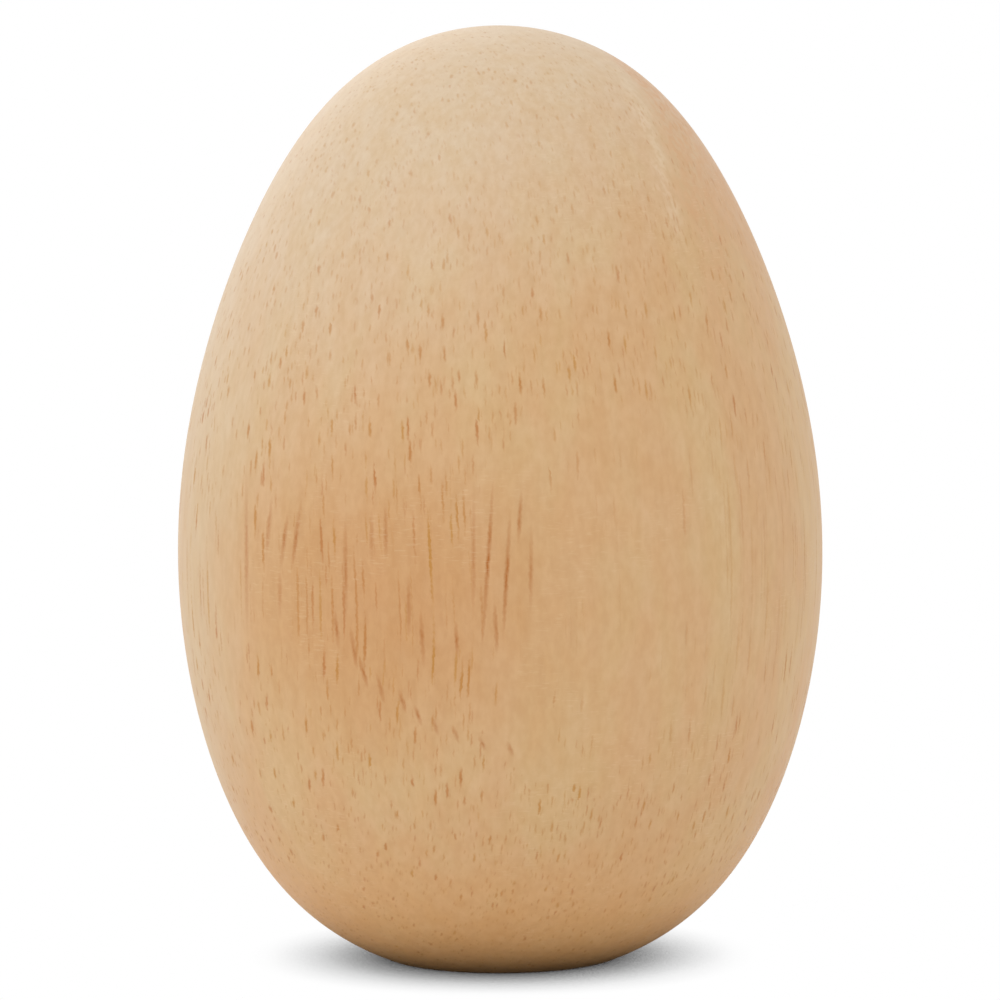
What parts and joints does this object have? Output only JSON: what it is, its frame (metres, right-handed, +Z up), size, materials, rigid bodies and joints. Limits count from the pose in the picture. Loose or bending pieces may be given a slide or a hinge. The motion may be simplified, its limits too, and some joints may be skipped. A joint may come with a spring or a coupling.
{
  "type": "egg shaker",
  "caption": "Turned wooden egg shaker, hollow, standing on a flat foot, with loose steel shot inside and a glued plug in its foot.",
  "frame": {"origin": "centre of the flat foot that the egg stands on", "axes": "+Z up the egg's axis, from the foot to the crown"},
  "size_m": [0.0428, 0.0428, 0.062],
  "materials": {
    "egg_wood": "sanded, unvarnished",
    "plug_wood": "sanded, unvarnished",
    "shot_steel": "plain"
  },
  "bodies": {
    "egg": {"egg_body": "egg_wood", "base_plug": "plug_wood"},
    "ball_01": {"shot_01": "shot_steel"},
    "ball_02": {"shot_02": "shot_steel"},
    "ball_03": {"shot_03": "shot_steel"},
    "ball_04": {"shot_04": "shot_steel"},
    "ball_05": {"shot_05": "shot_steel"},
    "ball_06": {"shot_06": "shot_steel"},
    "ball_07": {"shot_07": "shot_steel"},
    "ball_08": {"shot_08": "shot_steel"},
    "ball_09": {"shot_09": "shot_steel"},
    "ball_10": {"shot_10": "shot_steel"},
    "ball_11": {"shot_11": "shot_steel"},
    "ball_12": {"shot_12": "shot_steel"},
    "ball_13": {"shot_13": "shot_steel"},
    "ball_14": {"shot_14": "shot_steel"},
    "ball_15": {"shot_15": "shot_steel"},
    "ball_16": {"shot_16": "shot_steel"},
    "ball_17": {"shot_17": "shot_steel"},
    "ball_18": {"shot_18": "shot_steel"},
    "ball_19": {"shot_19": "shot_steel"},
    "ball_20": {"shot_20": "shot_steel"},
    "ball_21": {"shot_21": "shot_steel"},
    "ball_22": {"shot_22": "shot_steel"},
    "ball_23": {"shot_23": "shot_steel"},
    "ball_24": {"shot_24": "shot_steel"},
    "ball_25": {"shot_25": "shot_steel"},
    "ball_26": {"shot_26": "shot_steel"},
    "ball_27": {"shot_27": "shot_steel"},
    "ball_28": {"shot_28": "shot_steel"},
    "ball_29": {"shot_29": "shot_steel"},
    "ball_30": {"shot_30": "shot_steel"},
    "ball_31": {"shot_31": "shot_steel"},
    "ball_32": {"shot_32": "shot_steel"},
    "ball_33": {"shot_33": "shot_steel"},
    "ball_34": {"shot_34": "shot_steel"},
    "ball_35": {"shot_35": "shot_steel"},
    "ball_36": {"shot_36": "shot_steel"},
    "ball_37": {"shot_37": "shot_steel"}
  },
  "joints": [
    {"name": "rattle_01", "type": "slide", "parent": "egg", "child": "ball_01", "axis": [0, 0, 1], "range_m": [0, 0.046]},
    {"name": "rattle_02", "type": "slide", "parent": "egg", "child": "ball_02", "axis": [0, 0, 1], "range_m": [0, 0.0453]},
    {"name": "rattle_03", "type": "slide", "parent": "egg", "child": "ball_03", "axis": [0, 0, 1], "range_m": [0, 0.0453]},
    {"name": "rattle_04", "type": "slide", "parent": "egg", "child": "ball_04", "axis": [0, 0, 1], "range_m": [0, 0.0453]},
    {"name": "rattle_05", "type": "slide", "parent": "egg", "child": "ball_05", "axis": [0, 0, 1], "range_m": [0, 0.0453]},
    {"name": "rattle_06", "type": "slide", "parent": "egg", "child": "ball_06", "axis": [0, 0, 1], "range_m": [0, 0.0453]},
    {"name": "rattle_07", "type": "slide", "parent": "egg", "child": "ball_07", "axis": [0, 0, 1], "range_m": [0, 0.0453]},
    {"name": "rattle_08", "type": "slide", "parent": "egg", "child": "ball_08", "axis": [0, 0, 1], "range_m": [0, 0.043]},
    {"name": "rattle_09", "type": "slide", "parent": "egg", "child": "ball_09", "axis": [0, 0, 1], "range_m": [0, 0.0438]},
    {"name": "rattle_10", "type": "slide", "parent": "egg", "child": "ball_10", "axis": [0, 0, 1], "range_m": [0, 0.043]},
    {"name": "rattle_11", "type": "slide", "parent": "egg", "child": "ball_11", "axis": [0, 0, 1], "range_m": [0, 0.0438]},
    {"name": "rattle_12", "type": "slide", "parent": "egg", "child": "ball_12", "axis": [0, 0, 1], "range_m": [0, 0.043]},
    {"name": "rattle_13", "type": "slide", "parent": "egg", "child": "ball_13", "axis": [0, 0, 1], "range_m": [0, 0.0438]},
    {"name": "rattle_14", "type": "slide", "parent": "egg", "child": "ball_14", "axis": [0, 0, 1], "range_m": [0, 0.043]},
    {"name": "rattle_15", "type": "slide", "parent": "egg", "child": "ball_15", "axis": [0, 0, 1], "range_m": [0, 0.0438]},
    {"name": "rattle_16", "type": "slide", "parent": "egg", "child": "ball_16", "axis": [0, 0, 1], "range_m": [0, 0.043]},
    {"name": "rattle_17", "type": "slide", "parent": "egg", "child": "ball_17", "axis": [0, 0, 1], "range_m": [0, 0.0438]},
    {"name": "rattle_18", "type": "slide", "parent": "egg", "child": "ball_18", "axis": [0, 0, 1], "range_m": [0, 0.043]},
    {"name": "rattle_19", "type": "slide", "parent": "egg", "child": "ball_19", "axis": [0, 0, 1], "range_m": [0, 0.0438]},
    {"name": "rattle_20", "type": "slide", "parent": "egg", "child": "ball_20", "axis": [0, 0, 1], "range_m": [0, 0.0381]},
    {"name": "rattle_21", "type": "slide", "parent": "egg", "child": "ball_21", "axis": [0, 0, 1], "range_m": [0, 0.0402]},
    {"name": "rattle_22", "type": "slide", "parent": "egg", "child": "ball_22", "axis": [0, 0, 1], "range_m": [0, 0.0402]},
    {"name": "rattle_23", "type": "slide", "parent": "egg", "child": "ball_23", "axis": [0, 0, 1], "range_m": [0, 0.0381]},
    {"name": "rattle_24", "type": "slide", "parent": "egg", "child": "ball_24", "axis": [0, 0, 1], "range_m": [0, 0.0402]},
    {"name": "rattle_25", "type": "slide", "parent": "egg", "child": "ball_25", "axis": [0, 0, 1], "range_m": [0, 0.0402]},
    {"name": "rattle_26", "type": "slide", "parent": "egg", "child": "ball_26", "axis": [0, 0, 1], "range_m": [0, 0.0381]},
    {"name": "rattle_27", "type": "slide", "parent": "egg", "child": "ball_27", "axis": [0, 0, 1], "range_m": [0, 0.0402]},
    {"name": "rattle_28", "type": "slide", "parent": "egg", "child": "ball_28", "axis": [0, 0, 1], "range_m": [0, 0.0402]},
    {"name": "rattle_29", "type": "slide", "parent": "egg", "child": "ball_29", "axis": [0, 0, 1], "range_m": [0, 0.0381]},
    {"name": "rattle_30", "type": "slide", "parent": "egg", "child": "ball_30", "axis": [0, 0, 1], "range_m": [0, 0.0402]},
    {"name": "rattle_31", "type": "slide", "parent": "egg", "child": "ball_31", "axis": [0, 0, 1], "range_m": [0, 0.0402]},
    {"name": "rattle_32", "type": "slide", "parent": "egg", "child": "ball_32", "axis": [0, 0, 1], "range_m": [0, 0.0381]},
    {"name": "rattle_33", "type": "slide", "parent": "egg", "child": "ball_33", "axis": [0, 0, 1], "range_m": [0, 0.0402]},
    {"name": "rattle_34", "type": "slide", "parent": "egg", "child": "ball_34", "axis": [0, 0, 1], "range_m": [0, 0.0402]},
    {"name": "rattle_35", "type": "slide", "parent": "egg", "child": "ball_35", "axis": [0, 0, 1], "range_m": [0, 0.0381]},
    {"name": "rattle_36", "type": "slide", "parent": "egg", "child": "ball_36", "axis": [0, 0, 1], "range_m": [0, 0.0402]},
    {"name": "rattle_37", "type": "slide", "parent": "egg", "child": "ball_37", "axis": [0, 0, 1], "range_m": [0, 0.0402]}
  ]
}
